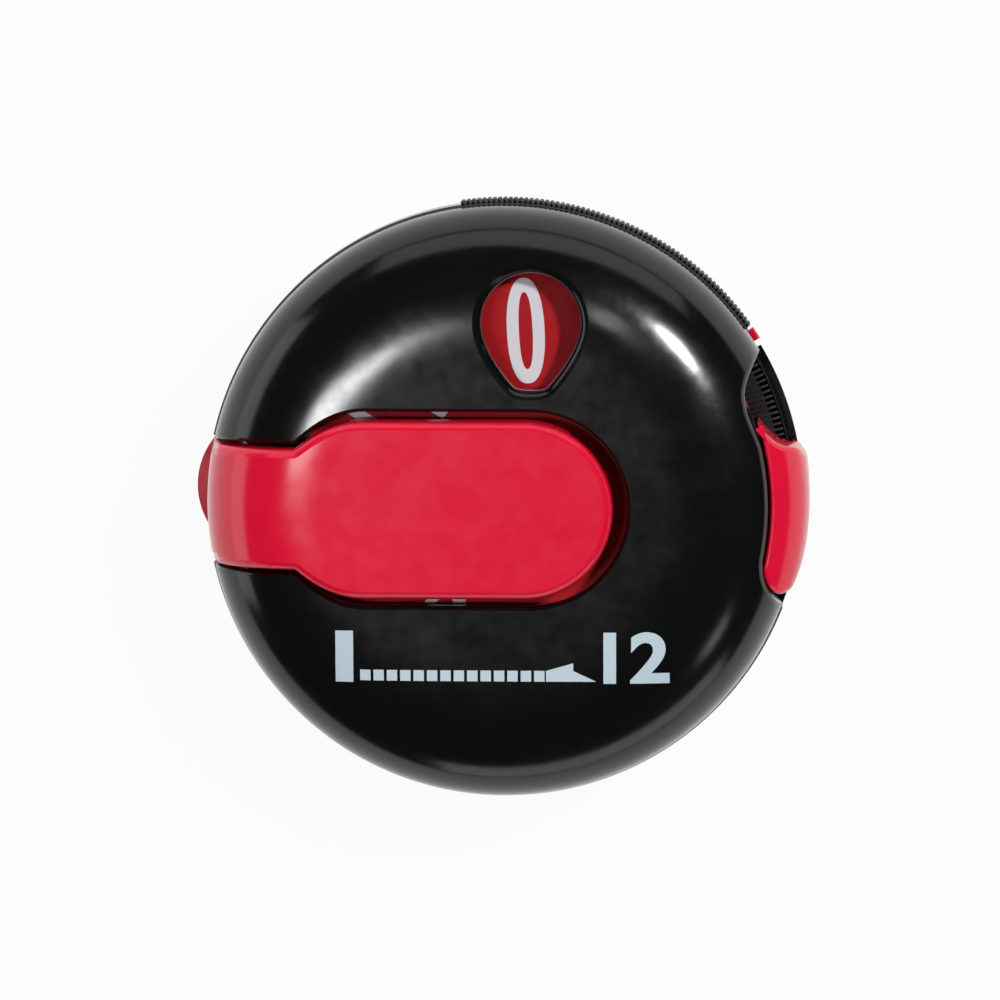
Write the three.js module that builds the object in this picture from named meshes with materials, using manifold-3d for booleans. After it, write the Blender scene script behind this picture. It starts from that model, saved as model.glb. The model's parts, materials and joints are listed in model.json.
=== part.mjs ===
// Round one-digit tally counter. A thumb button steps a number dial from 0 to 12, a lever at the rim
// lets the dial spring back to 0, and a clip on the back holds the counter on a belt.
// Millimetres. +Z points out of the face. The origin is on the case's axis, on the clip's outer face.
import * as THREE from "three";
import { mergeVertices } from "three/addons/utils/BufferGeometryUtils.js";
import Module from "manifold-3d";

const wasm = await Module();
wasm.setup();
const rad = THREE.MathUtils.degToRad;
const at = (radius, angle, x = 0, y = 0) => [x + radius * Math.cos(angle), y + radius * Math.sin(angle)];

// ---------- driving dimensions ----------
const fit = 0.3; // between pieces that seat in or pass through each other
const running = 0.3; // round a piece that moves

// rear clip and belt gap
const clipThickness = 1.6;
const beltGap = 4.4;
const clipHalf = 5.4;
const clipTipProud = 1.4;
const clipTail = 17;
const clipHingeX = 9;
const clipPinRadius = 0.8;
const clipEarHalf = 1.8; // along X, either side of the pin
const clipEarThickness = 1.7;
const clipLugThickness = 1.5;
const jawStart = 2.65; // in from the case's rim
const jawLength = 2.5;

// back case
const caseRadius = 21;
const floorThickness = 1.4;
const sideWall = 1.4;
const wallHeight = 5.4; // from the back face to the parting line
const backRoundWidth = 3.5;
const backRoundHeight = 3;

// front cover
const coverSetback = 0.15;
const domeHeight = 6.6; // from the parting line to the crown
const coverWall = 1.2;
const shoulderWidth = 9.5;
const shoulderPower = 2.5;
const lipHeight = 0.8;
const lipThickness = 0.35;
const lipSpans = [
  [52, 100],
  [120, 158],
  [202, 240],
  [260, 325],
].map((span) => span.map(rad));

// thumb button
const padHalf = 6.2;
const padEnd = 7.85;
const padStart = -9.5; // the pad has its full width from here
const neckHalf = 4.2;
const neckFlare = 4.8; // length over which the neck widens into the pad
const padProud = 1.4;
const buttonFlat = 12.6; // flat crown of the button
const padThickness = 2.6;
const padCeiling = 1.5; // what is left above the pawl's pocket
const padSideGap = 0.65;
const padEndGap = 1.0;
const hingeSetback = 2.8; // hinge pin in from the rim
const hingeRise = 2.4; // hinge pin above the floor
const hingePinRadius = 0.7;
const barrelRadius = 1.5;
const hingeLugThickness = 1.2;
const neckFoot = 1.3; // lowest point of the neck above the floor
const coilHalf = 2; // half of the button spring along its pin
const coilRadius = 1.25;

// number dial
const positions = 13; // 0 to 12
const dialX = 2.2;
const dialY = 0.6;
const dialDepth = 3.6; // dial face below the crown
const dialThickness = 1;
const axleRadius = 1;
const sleeveRadius = 2.1;
const stopInner = 14;
const stopOuter = 15.5;
const stopPostAngle = rad(7.8);
const stopPlay = rad(0.4);

// ratchets and pawls
const holdTip = 6;
const holdRoot = 5.2;
const holdThickness = 1.7;
const crownInner = 2.8;
const crownOuter = 4.4;
const crownHeight = 1;
const crownToothDepth = 0.6;
const pawlThickness = 0.35;
const drivePawlWidth = 1.6;
const pawlHeight = 0.8;
const pawlTipInset = 0.25;
const pawlPostRadius = 1.2;
const screwShank = 0.5;
const screwHead = 0.9;
const screwHeadHeight = 0.45;
const spiralPostRadius = 0.7;
const spiralOuter = 6.2;
const spiralTurns = 3.5;
const spiralThickness = 0.24;
const spiralStart = rad(-30);

// reset lever and its track
const handleProud = 0.5;
const handleInner = 19;
const handleStart = rad(-17.5);
const handleEnd = rad(9.5);
const handleTip = rad(17.5);
const handleTopDrop = 2.8; // below the crown
const resetTravel = rad(7.5);
const camRadius = 0.6;
const sliderInner = 17.4;
const sliderHeight = 1.2;
const sliderStart = rad(-20);
const nubStart = rad(32);
const nubEnd = rad(34.5);
const nubProud = 0.2;
const ledgeThickness = 0.8;
const bayStart = rad(-20.5);
const bayEnd = rad(35.5);
const bayWallSetback = 0.67;
const bayRadius = 18.8; // cover's edge at the bay
const bayLip = 1.3;

// grip band on the rim
const gripStart = rad(36);
const gripEnd = rad(98);
const gripProud = 0.25;
const gripRidges = 31;
const gripDepth = 0.3;

// sight window
const windowX = 2.16;
const windowRadius = 3.5;
const windowEdge = 0.1; // dial left showing above the window
const windowFootHalf = 1.4;
const windowLength = 8.4;

// case screws
const screwAngles = [110, 250].map(rad);
const bossRadius = 1.3;
const caseScrewShank = 0.6;
const caseScrewHead = 0.95;
const caseScrewHeadHeight = 0.7;
const screwSink = 0.2;

// ---------- what follows from them ----------
const backZ = clipThickness + beltGap;
const floorZ = backZ + floorThickness;
const partingZ = backZ + wallHeight;
const crownZ = partingZ + domeHeight;
const caseInner = caseRadius - sideWall;
const coverRadius = caseRadius - coverSetback;
const flatRadius = coverRadius - shoulderWidth;
const dialTopZ = crownZ - dialDepth;
const dialZ = dialTopZ - dialThickness;
const holdZ = dialZ - holdThickness;
const hingeX = hingeSetback - caseRadius;
const hingeZ = floorZ + hingeRise;
const padTopZ = crownZ + padProud;
const padBottomZ = padTopZ - padThickness;
const pocketZ = padTopZ - padCeiling;
const clipHingeZ = clipThickness + beltGap / 2;
const sliderZ = floorZ + sliderHeight;
const sliderOuter = caseInner - running;
const ledgeZ = sliderZ + 2 * running;
const bayWallZ = ledgeZ + ledgeThickness;
const handleZ = bayWallZ + running;
const handleOuter = caseRadius + handleProud;
const bayOuter = caseRadius - bayWallSetback;
const spiralZ = [floorZ + 1.4, holdZ - 0.8];
const screwCircle = caseInner - bossRadius - 0.4;

// Radius of a superellipse shoulder at a height.
const shoulderAt = (z, flat, rim, top, foot) =>
  flat + (rim - flat) * (1 - ((z - foot) / (top - foot)) ** shoulderPower) ** (1 / shoulderPower);
const cavityRadius = shoulderAt(
  dialTopZ,
  flatRadius,
  coverRadius - coverWall,
  crownZ - coverWall,
  partingZ,
);
const dialRadius = cavityRadius - Math.hypot(dialX, dialY) - running;
const windowTop = dialY + dialRadius - windowEdge;
const pawlZ = holdZ + 0.2;
const holdAnchor = [dialX + holdTip + 1.4, dialY - holdTip - 2.6];
const spiralAnchor = at(
  spiralOuter + spiralPostRadius + spiralThickness / 2 + 0.2,
  spiralStart + 2 * Math.PI * spiralTurns,
  dialX,
  dialY,
);
const coilAngle = [nubEnd + rad(1), nubEnd + rad(21)];
const springEnd = coilAngle[1] + rad(0.6);
const driveY = dialY - (crownInner + crownOuter) / 2;
const driveTipX = dialX - fit;
const driveFootX = dialX - 6;
const pocketStart = driveFootX - 1.3;
const driveScrewX = driveFootX;
// The cam post stands between the hold ratchet and its pawl, just clear of the leaf.
const camPlace = (() => {
  const y = dialY - holdTip - 0.1;
  const [ax, ay] = holdAnchor;
  const tipX = dialX + holdRoot + pawlTipInset;
  const share = (dialY - fit - y) / (dialY - fit - ay);
  return [tipX + (ax - 0.2 - tipX) * share - 0.25 - camRadius, y];
})();

// ---------- materials ----------
const look = (color, roughness, metalness = 0) =>
  new THREE.MeshStandardMaterial({ color, roughness, metalness });
const black = look(0x121212, 0.25);
const pink = look(0xdd1f42, 0.3);
const red = look(0x88121c, 0.5);
const acetal = look(0xe6e4dc, 0.45);
const steel = look(0xb8bcc0, 0.3, 1);

// ---------- solids ----------
// A closed geometry as a solid with its faces out.
function solid(geometry) {
  const bare = new THREE.BufferGeometry();
  const loose = geometry.index ? geometry.toNonIndexed() : geometry;
  bare.setAttribute("position", loose.getAttribute("position"));
  const merged = mergeVertices(bare, 1e-4);
  const index = merged.index.array;
  const faces = [];
  for (let i = 0; i < index.length; i += 3) {
    const [a, b, c] = [index[i], index[i + 1], index[i + 2]];
    if (a !== b && b !== c && c !== a) faces.push([a, b, c]);
  }
  const vertProperties = merged.getAttribute("position").array;
  const make = (list) =>
    new wasm.Manifold(new wasm.Mesh({ numProp: 3, vertProperties, triVerts: new Uint32Array(list.flat()) }));
  const first = make(faces);
  return first.volume() > 0 ? first : make(faces.map(([a, b, c]) => [a, c, b]));
}

const join = (first, ...others) => others.reduce((all, one) => all.add(one), first);
const cut = (body, ...tools) => tools.reduce((left, tool) => left.subtract(tool), body);

function box(x0, x1, y0, y1, z0, z1) {
  const geometry = new THREE.BoxGeometry(x1 - x0, y1 - y0, z1 - z0);
  return solid(geometry.translate((x0 + x1) / 2, (y0 + y1) / 2, (z0 + z1) / 2));
}

// A cylinder along Z.
function post(radius, x, y, z0, z1, segments = 18) {
  const geometry = new THREE.CylinderGeometry(radius, radius, z1 - z0, segments);
  return solid(geometry.rotateX(Math.PI / 2).translate(x, y, (z0 + z1) / 2));
}

// A cylinder along Y.
function rod(radius, x, z, y0, y1, segments = 18) {
  const geometry = new THREE.CylinderGeometry(radius, radius, y1 - y0, segments);
  return solid(geometry.translate(x, (y0 + y1) / 2, z));
}

// A solid of revolution round Z, from (radius, z) points.
function turned(points, segments = 64) {
  const profile = points.map(([r, z]) => new THREE.Vector2(r, z));
  return solid(new THREE.LatheGeometry(profile, segments).rotateX(Math.PI / 2));
}

// An outline in the XY plane, raised from z0 to z1.
function raised(shape, z0, z1, curveSegments = 12) {
  const settings = { depth: z1 - z0, bevelEnabled: false, curveSegments };
  return solid(new THREE.ExtrudeGeometry(shape, settings).translate(0, 0, z0));
}

// An outline in the XZ plane, from y0 to y1.
function across(shape, y0, y1, curveSegments = 12) {
  const settings = { depth: y1 - y0, bevelEnabled: false, curveSegments };
  return solid(new THREE.ExtrudeGeometry(shape, settings).rotateX(Math.PI / 2).translate(0, y1, 0));
}

const outline = (points) => new THREE.Shape(points.map(([x, y]) => new THREE.Vector2(x, y)));

// A ring sector round (x, y) from angle a0 to a1.
function sector(r0, r1, a0, a1, z0, z1, x = 0, y = 0) {
  const shape = new THREE.Shape();
  shape.moveTo(x + r0 * Math.cos(a0), y + r0 * Math.sin(a0));
  shape.absarc(x, y, r1, a0, a1, false);
  shape.absarc(x, y, r0, a1, a0, true);
  return raised(shape, z0, z1, Math.max(1, Math.ceil((a1 - a0) / rad(6))));
}


// The superellipse shoulder from the flat face out to the rim, as (radius, z) points.
function shoulder(flat, rim, top, foot, steps) {
  return Array.from({ length: steps + 1 }, (_, i) => {
    const turn = ((Math.PI / 2) * i) / steps;
    const out = Math.sin(turn) ** (2 / shoulderPower);
    const up = i < steps ? Math.cos(turn) ** (2 / shoulderPower) : 0;
    return [flat + (rim - flat) * out, foot + (top - foot) * up];
  });
}

// A round wire through a chain of points.
function wire(points, radius) {
  const sides = 6;
  const ring = Array.from({ length: sides }, (_, i) => at(radius, (2 * Math.PI * i) / sides));
  const settings = {
    extrudePath: new THREE.CatmullRomCurve3(points.map((p) => new THREE.Vector3(...p))),
    steps: points.length - 1,
    bevelEnabled: false,
  };
  return solid(new THREE.ExtrudeGeometry(outline(ring), settings));
}

// A saw-toothed ring round Z: each tooth drops away counterclockwise from its radial face.
function sawRing(tip, root, z0, z1) {
  const pitch = (2 * Math.PI) / positions;
  const steps = 4;
  const points = [];
  for (let tooth = 0; tooth < positions; tooth++)
    for (let i = 0; i <= steps; i++)
      points.push(at(tip - ((tip - root) * i) / steps, pitch * (tooth + i / steps), dialX, dialY));
  return raised(outline(points), z0, z1);
}

// ---------- outlines ----------
// The button seen from above: a neck that widens into a pad with a round end.
function buttonOutline(sideGap, endGap) {
  const neck = neckHalf + sideGap / 2;
  const pad = padHalf + sideGap;
  const end = padEnd + endGap - pad;
  const foot = -caseRadius - 3;
  const bend = padStart - neckFlare;
  const firstPull = [bend + 0.15 * neckFlare, neck + 0.27 * (pad - neck)];
  const lastPull = [bend + 0.5 * neckFlare, pad];
  const shape = new THREE.Shape();
  shape.moveTo(foot, -neck);
  shape.lineTo(bend, -neck);
  shape.bezierCurveTo(firstPull[0], -firstPull[1], lastPull[0], -lastPull[1], padStart, -pad);
  shape.lineTo(end, -pad);
  shape.absarc(end, 0, pad, -Math.PI / 2, Math.PI / 2, false);
  shape.lineTo(padStart, pad);
  shape.bezierCurveTo(...lastPull, ...firstPull, bend, neck);
  shape.lineTo(foot, neck);
  return shape;
}

// The sight window: a round top that tapers to a narrow foot.
function windowOutline() {
  const top = windowTop - windowRadius;
  const foot = windowTop - windowLength;
  const side = rad(-20);
  const shape = new THREE.Shape();
  shape.moveTo(...at(windowRadius, side, windowX, top));
  shape.absarc(windowX, top, windowRadius, side, Math.PI - side, false);
  shape.lineTo(windowX - windowFootHalf, foot);
  shape.lineTo(windowX + windowFootHalf, foot);
  return shape;
}

// The bay in the cover's edge that the reset lever moves in, with both ends sloped out to the rim.
function bayOutline(inner) {
  const outer = caseRadius + 3;
  const start = bayStart + rad(4);
  const end = bayEnd - rad(10.5);
  const shape = new THREE.Shape();
  shape.moveTo(...at(outer, start - rad(9)));
  shape.lineTo(...at(inner, start));
  shape.absarc(0, 0, inner, start, end, false);
  shape.lineTo(...at(outer, end + rad(20)));
  shape.absarc(0, 0, outer, end + rad(20), start - rad(9), true);
  return shape;
}

// ---------- casing ----------
function frontCover() {
  const slope = shoulder(flatRadius, coverRadius, crownZ, partingZ, 8);
  const dome = turned([[0, crownZ], ...slope, [0, partingZ]]);
  const inner = coverRadius - coverWall;
  const below = partingZ - 2;
  const cavity = turned([
    [0, crownZ - coverWall],
    ...shoulder(flatRadius, inner, crownZ - coverWall, partingZ, 6),
    [inner, below],
    [0, below],
  ]);
  const innerLip = caseInner - fit - lipThickness;
  const lips = lipSpans.map(([from, to]) =>
    join(
      sector(innerLip, caseInner - fit, from, to, partingZ - lipHeight, partingZ + lipThickness),
      sector(innerLip, inner + coverWall / 2, from, to, partingZ, partingZ + lipThickness),
    ),
  );
  const bosses = screwAngles.map((a) => post(bossRadius, ...at(screwCircle, a), partingZ - fit, crownZ - 2));
  const pilots = screwAngles.map((a) =>
    post(caseScrewShank + fit, ...at(screwCircle, a), partingZ - 1, partingZ + 2.4),
  );
  const bayRim = sector(
    bayRadius - bayLip,
    bayRadius,
    bayStart,
    bayEnd,
    dialTopZ + running,
    crownZ - 0.5,
  ).intersect(dome);
  const solidDome = dome.add(cavity);
  const fittedBosses = bosses.map((boss) => boss.intersect(solidDome));
  const shell = join(dome.subtract(cavity), bayRim, ...fittedBosses, ...lips);
  return cut(
    shell,
    ...pilots,
    raised(bayOutline(bayRadius), below, crownZ + 1, 10),
    raised(buttonOutline(padSideGap, padEndGap), below, padTopZ + 1, 10),
    raised(windowOutline(), dialTopZ, crownZ + 1, 14),
  );
}

function quarterRound(centreR, centreZ, width, height, steps) {
  return Array.from({ length: steps + 1 }, (_, i) => {
    const turn = ((Math.PI / 2) * i) / steps;
    return [centreR + width * Math.sin(turn), centreZ - height * Math.cos(turn)];
  });
}

function gripBand() {
  const points = [];
  const pitch = (gripEnd - gripStart) / gripRidges;
  const foot = caseRadius - sideWall / 2;
  for (let i = 0; i < gripRidges; i++) {
    points.push(at(caseRadius + gripProud, gripStart + pitch * i));
    points.push(at(caseRadius + gripProud, gripStart + pitch * (i + 0.5)));
    points.push(at(caseRadius + gripProud - gripDepth, gripStart + pitch * (i + 0.75)));
  }
  for (let i = gripRidges; i >= 0; i--) points.push(at(foot, gripStart + pitch * i));
  return raised(outline(points), backZ + backRoundHeight, partingZ - 0.2);
}

// Fine radial ribs on the ledge of the lever's bay.
function ledgeRibs() {
  const ribs = [];
  for (let a = handleEnd + rad(2); a < bayEnd - rad(3); a += rad(3))
    ribs.push(sector(bayRadius - 0.3, bayOuter - 0.2, a, a + rad(1.2), bayWallZ - 0.1, bayWallZ + 0.2));
  return ribs;
}

function backCase() {
  const roundR = caseRadius - backRoundWidth;
  const roundZ = backZ + backRoundHeight;
  const tub = turned([
    [0, backZ],
    ...quarterRound(roundR, roundZ, backRoundWidth, backRoundHeight, 5),
    [caseRadius, partingZ],
    [caseInner, partingZ],
    [caseInner, floorZ],
    [0, floorZ],
  ]);
  const outside = caseRadius + 3;
  const bayCuts = [
    sector(bayOuter, outside, bayStart, bayEnd, sliderZ, partingZ + 1),
    sector(caseInner - 1, outside, bayStart, bayEnd, bayWallZ, partingZ + 1),
    sector(
      caseInner - 1,
      outside,
      nubStart - rad(1),
      nubEnd + resetTravel + rad(1),
      floorZ,
      sliderZ + running,
    ),
  ];
  const slotHalf = neckHalf + fit;
  const neckSlot = box(-outside, -caseInner + 1, -slotHalf, slotHalf, floorZ + neckFoot - fit, crownZ);
  const ledges = [
    sector(bayRadius - 0.6, caseInner + 0.3, handleEnd + rad(0.4), bayEnd, ledgeZ, bayWallZ),
    sector(bayRadius - 0.6, caseInner + 0.3, bayStart, handleStart + rad(2), ledgeZ, bayWallZ),
  ];
  const guideOuter = sliderInner - running;
  const guide = sector(guideOuter - 0.7, guideOuter, 0, rad(30), floorZ - 0.2, sliderZ);
  const axleSeat = cut(
    post(sleeveRadius + 0.6, dialX, dialY, floorZ - 0.2, floorZ + 1, 32),
    post(axleRadius + fit, dialX, dialY, floorZ, floorZ + 2),
  );
  const stopPost = sector(
    stopInner,
    stopOuter,
    -Math.PI / 2 - stopPostAngle / 2,
    -Math.PI / 2 + stopPostAngle / 2,
    floorZ - 0.2,
    dialZ - running,
    dialX,
    dialY,
  );
  const hingeLugs = [-1, 1].map((side) => {
    const y0 = side * (neckHalf + fit);
    const y1 = side * (neckHalf + fit + hingeLugThickness);
    const lug = box(
      hingeX - barrelRadius,
      hingeX + barrelRadius + 0.3,
      Math.min(y0, y1),
      Math.max(y0, y1),
      floorZ - 0.2,
      hingeZ + barrelRadius,
    );
    const reach = caseInner + 0.3;
    return lug.intersect(turned([[0, backZ], [reach, backZ], [reach, crownZ], [0, crownZ]]));
  });
  const hingeBore = rod(hingePinRadius + fit, hingeX, hingeZ, -hingeLugEnd(), hingeLugEnd());
  const screwPosts = screwAngles.map((a) =>
    post(bossRadius, ...at(screwCircle, a), floorZ - 0.2, partingZ - fit),
  );
  const screwHoles = screwAngles.map((a) =>
    join(
      post(caseScrewShank + fit, ...at(screwCircle, a), backZ - 1, partingZ + 1),
      post(caseScrewHead + fit, ...at(screwCircle, a), backZ - 1, backZ + screwSink + caseScrewHeadHeight),
    ),
  );
  const clipLugs = [-1, 1].map((side) => {
    const near = side * (clipHalf - 0.2);
    const far = side * (clipHalf - 0.2 + clipLugThickness);
    return join(
      box(
        clipHingeX - clipEarHalf,
        clipHingeX + clipEarHalf,
        Math.min(near, far),
        Math.max(near, far),
        clipHingeZ,
        backZ + 0.4,
      ),
      rod(clipEarHalf, clipHingeX, clipHingeZ, Math.min(near, far), Math.max(near, far)),
    );
  });
  const clipBore = rod(clipPinRadius + fit, clipHingeX, clipHingeZ, -clipHalf - 4, clipHalf + 4);
  const holdPost = post(pawlPostRadius, ...holdAnchor, floorZ - 0.2, pawlZ);
  const spiralPost = post(spiralPostRadius, ...spiralAnchor, floorZ - 0.2, spiralZ[1]);
  const springStop = sector(
    sliderInner,
    caseInner + 0.3,
    springEnd,
    springEnd + rad(3),
    floorZ - 0.2,
    sliderZ + 0.6,
  );
  const shell = cut(tub, ...bayCuts, neckSlot);
  const fitted = join(
    shell,
    ...ledges,
    ...ledgeRibs(),
    gripBand(),
    guide,
    axleSeat,
    stopPost,
    ...hingeLugs,
    ...screwPosts,
    ...clipLugs,
    holdPost,
    spiralPost,
    springStop,
  );
  return cut(
    fitted,
    hingeBore,
    ...screwHoles,
    clipBore,
    post(screwShank + fit, ...holdAnchor, floorZ + 0.6, pawlZ + 1),
  );
}

function hingeLugEnd() {
  return neckHalf + fit + hingeLugThickness + 0.3;
}

// ---------- dial and ratchets ----------
function numberDial() {
  const disc = post(dialRadius, dialX, dialY, dialZ, dialTopZ, 72);
  const pitch = (2 * Math.PI) / positions;
  const tabStart = -Math.PI / 2 + stopPostAngle / 2 + stopPlay;
  const tabEnd = tabStart + pitch - stopPostAngle - 2 * stopPlay;
  const tab = sector(stopInner, stopOuter, tabStart, tabEnd, dialZ - 1.5, dialZ + 0.2, dialX, dialY);
  return cut(join(disc, tab), post(axleRadius + fit, dialX, dialY, dialZ - 1, dialTopZ + 1));
}

function holdRatchet() {
  const teeth = sawRing(holdTip, holdRoot, holdZ, dialZ);
  const sleeve = post(sleeveRadius, dialX, dialY, floorZ + 1, dialZ, 32);
  return cut(join(teeth, sleeve), post(axleRadius + fit, dialX, dialY, floorZ, dialTopZ));
}

// Teeth that stand on a ring: each rises clockwise to a face that looks clockwise.
function crownRatchet() {
  const pitch = (2 * Math.PI) / positions;
  const steps = 3;
  const overlap = rad(0.5);
  const teeth = [];
  for (let tooth = 0; tooth < positions; tooth++)
    for (let i = 0; i < steps; i++) {
      const start = -Math.PI / 2 + pitch * (tooth + i / steps);
      const end = start + pitch / steps + overlap;
      const top = dialTopZ + crownHeight - (crownToothDepth * i) / steps;
      teeth.push(sector(crownInner - 0.5, crownOuter + 0.5, start, end, dialTopZ, top, dialX, dialY));
    }
  const sides = positions * 4;
  const ring = cut(
    post(crownOuter, dialX, dialY, dialTopZ - 1, dialTopZ + 2, sides),
    post(crownInner, dialX, dialY, dialTopZ - 2, dialTopZ + 3, sides),
  );
  return join(...teeth).intersect(ring);
}

function dialAxle() {
  return post(axleRadius, dialX, dialY, floorZ, dialTopZ + 0.9, 24);
}

function axleClip() {
  const ring = cut(
    post(crownInner - fit, dialX, dialY, dialTopZ, dialTopZ + 0.4),
    post(axleRadius + 0.1, dialX, dialY, dialTopZ - 1, dialTopZ + 1),
  );
  return cut(ring, box(dialX, dialX + crownInner, dialY - 0.5, dialY + 0.5, dialTopZ - 1, dialTopZ + 1));
}

// A flat spiral strip from the sleeve out to its post.
function returnSpring() {
  const inner = sleeveRadius + 0.4;
  const steps = Math.round(spiralTurns * 18);
  const edge = (offset) =>
    Array.from({ length: steps + 1 }, (_, i) => {
      const share = i / steps;
      const radius = inner + (spiralOuter - inner) * share + offset;
      return at(radius, spiralStart + 2 * Math.PI * spiralTurns * share, dialX, dialY);
    });
  const strip = [...edge(spiralThickness / 2), ...edge(-spiralThickness / 2).reverse()];
  return raised(outline(strip), spiralZ[0], spiralZ[1] - 0.2);
}

// A spring leaf on its post, whose tip bears on a tooth of the hold ratchet.
function holdPawl() {
  const [ax, ay] = holdAnchor;
  const tipX = dialX + holdRoot + pawlTipInset;
  const tipY = dialY - fit;
  const leaf = outline([
    [tipX, tipY],
    [tipX + pawlThickness, tipY],
    [ax + pawlThickness, ay],
    [ax - 0.2, ay],
  ]);
  const pad = post(pawlPostRadius, ax, ay, pawlZ, pawlZ + pawlHeight);
  const hole = post(screwShank + fit, ax, ay, pawlZ - 1, pawlZ + 2);
  return cut(join(raised(leaf, pawlZ, pawlZ + pawlHeight), pad), hole);
}

function pawlScrew() {
  const [ax, ay] = holdAnchor;
  const headZ = pawlZ + pawlHeight;
  return join(
    post(screwShank, ax, ay, floorZ + 0.9, headZ + 0.1),
    post(screwHead, ax, ay, headZ, Math.min(headZ + screwHeadHeight, dialZ - 0.2)),
  );
}

// ---------- button ----------
function countButton() {
  const shell = cut(
    turned([[0, padTopZ], ...shoulder(buttonFlat, coverRadius + 0.02, padTopZ, partingZ, 8), [0, partingZ]]),
    turned([
      [0, padBottomZ],
      ...shoulder(buttonFlat, coverRadius - 2.2, padBottomZ, partingZ, 6),
      [coverRadius - 2.2, partingZ - 1],
      [0, partingZ - 1],
    ]),
  ).intersect(raised(buttonOutline(0, 0), partingZ, padTopZ + 1, 12));
  const foot = box(-caseRadius, hingeX, -neckHalf, neckHalf, floorZ + neckFoot, partingZ + 0.5).intersect(
    post(coverRadius + 0.02, 0, 0, floorZ, padTopZ, 96),
  );
  const barrel = rod(barrelRadius, hingeX, hingeZ, -neckHalf, neckHalf);
  const coilRoom = box(
    hingeX - barrelRadius - fit,
    hingeX + 4,
    -coilHalf - fit,
    coilHalf + fit,
    floorZ,
    partingZ + 0.9,
  );
  const bore = rod(hingePinRadius + fit, hingeX, hingeZ, -neckHalf - 1, neckHalf + 1);
  const pocketHalf = Math.abs(dialY) + crownOuter + running;
  const pocketEnd = dialX + crownOuter + 2 * running;
  const pocket = box(pocketStart, pocketEnd, -pocketHalf, pocketHalf, padBottomZ - 1, pocketZ);
  const screwHole = post(screwShank + fit, driveScrewX, driveY, pocketZ - 1, padTopZ - 0.5);
  return cut(join(shell, foot, barrel), coilRoom, bore, pocket, screwHole);
}

function buttonHingePin() {
  const end = neckHalf + fit + hingeLugThickness;
  return rod(hingePinRadius, hingeX, hingeZ, -end, end);
}

// A torsion spring on a pin along Y: whole turns of wire that run off into a leg at each end.
function torsionSpring(x, z, half, radius, wireRadius, turns, firstLeg, lastLeg) {
  const bearing = (leg) => Math.atan2(leg[1] - z, leg[0] - x);
  const start = bearing(firstLeg) - Math.PI / 2;
  const end = bearing(lastLeg) + Math.PI / 2;
  const whole = 2 * Math.PI;
  const sweep = ((start - end + 2 * whole) % whole) + whole * turns;
  const steps = Math.round((10 * sweep) / whole);
  const coil = Array.from({ length: steps + 1 }, (_, i) => {
    const angle = start - (sweep * i) / steps;
    return [x + radius * Math.cos(angle), -half + (2 * half * i) / steps, z + radius * Math.sin(angle)];
  });
  return wire([[firstLeg[0], -half, firstLeg[1]], ...coil, [lastLeg[0], half, lastLeg[1]]], wireRadius);
}

function buttonSpring() {
  return torsionSpring(
    hingeX,
    hingeZ,
    coilHalf - 0.3,
    coilRadius,
    0.2,
    4,
    [hingeX + 3.4, floorZ + 0.25],
    [hingeX + 1.9, partingZ + 4.2],
  );
}

// A bent spring leaf under the pad, whose free end points down and along at the crown teeth.
function drivePawl() {
  const top = pocketZ;
  const bottom = top - pawlThickness;
  const tipZ = dialTopZ + crownHeight + 0.25;
  const bend = driveFootX + 1.4;
  const strip = outline([
    [driveFootX - 1.1, bottom],
    [bend, bottom],
    [driveTipX - 0.3, tipZ],
    [driveTipX, tipZ + 0.15],
    [bend + 0.15, top],
    [driveFootX - 1.1, top],
  ]);
  const hole = post(screwShank + fit, driveScrewX, driveY, bottom - 1, top + 1);
  return cut(across(strip, driveY - drivePawlWidth / 2 - 0.3, driveY + drivePawlWidth / 2 + 0.3), hole);
}

function drivePawlScrew() {
  const seat = pocketZ - pawlThickness;
  return join(
    post(screwShank, driveScrewX, driveY, seat - 0.1, padTopZ - 0.8),
    post(screwHead, driveScrewX, driveY, seat - screwHeadHeight, seat),
  );
}

// ---------- reset lever ----------
function resetLever() {
  const slider = sector(sliderInner, sliderOuter, sliderStart, nubEnd, floorZ, sliderZ);
  const nub = sector(sliderOuter - 0.5, caseRadius + nubProud, nubStart, nubEnd, floorZ, sliderZ);
  const stemTop = dialZ - running;
  const stemInner = sliderInner + 0.3;
  const [stemStart, stemEnd] = [handleStart + rad(3.5), rad(-3.5)];
  const stem = sector(stemInner, sliderOuter - 0.1, stemStart, stemEnd, sliderZ - 0.2, stemTop);
  const bridge = sector(stemInner, handleInner + 1, stemStart, stemEnd, handleZ, stemTop);
  const top = crownZ - handleTopDrop;
  const shape = new THREE.Shape();
  shape.moveTo(...at(handleInner, handleStart + rad(4)));
  shape.lineTo(...at(handleInner + 1, handleStart));
  shape.lineTo(...at(handleOuter - 0.8, handleStart));
  shape.absarc(0, 0, handleOuter, handleStart + rad(1.2), handleEnd - rad(1.2), false);
  shape.lineTo(...at(handleInner + 0.6, handleEnd + rad(5)));
  shape.lineTo(...at(handleInner, handleTip));
  shape.absarc(0, 0, handleInner, handleTip, handleStart + rad(4), true);
  const handle = raised(shape, handleZ, top, 12).intersect(
    turned([
      [0, floorZ],
      [handleOuter, floorZ],
      [handleOuter, top - 1.6],
      [handleOuter - 0.5, top - 0.6],
      [handleOuter - 1.3, top],
      [0, top],
    ]),
  );
  const skirt = sector(
    bayOuter + fit,
    handleOuter,
    handleStart + rad(1.2),
    handleEnd - rad(1.2),
    sliderZ + fit,
    handleZ + 0.3,
  );
  const camPost = post(camRadius, ...camPlace, floorZ, dialZ - 0.7);
  const [cx, cy] = camPlace;
  const arm = box(cx, sliderInner + 0.2, cy - 0.7, cy + 0.7, floorZ, sliderZ);
  return join(slider, nub, stem, bridge, handle, skirt, arm, camPost);
}

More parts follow.
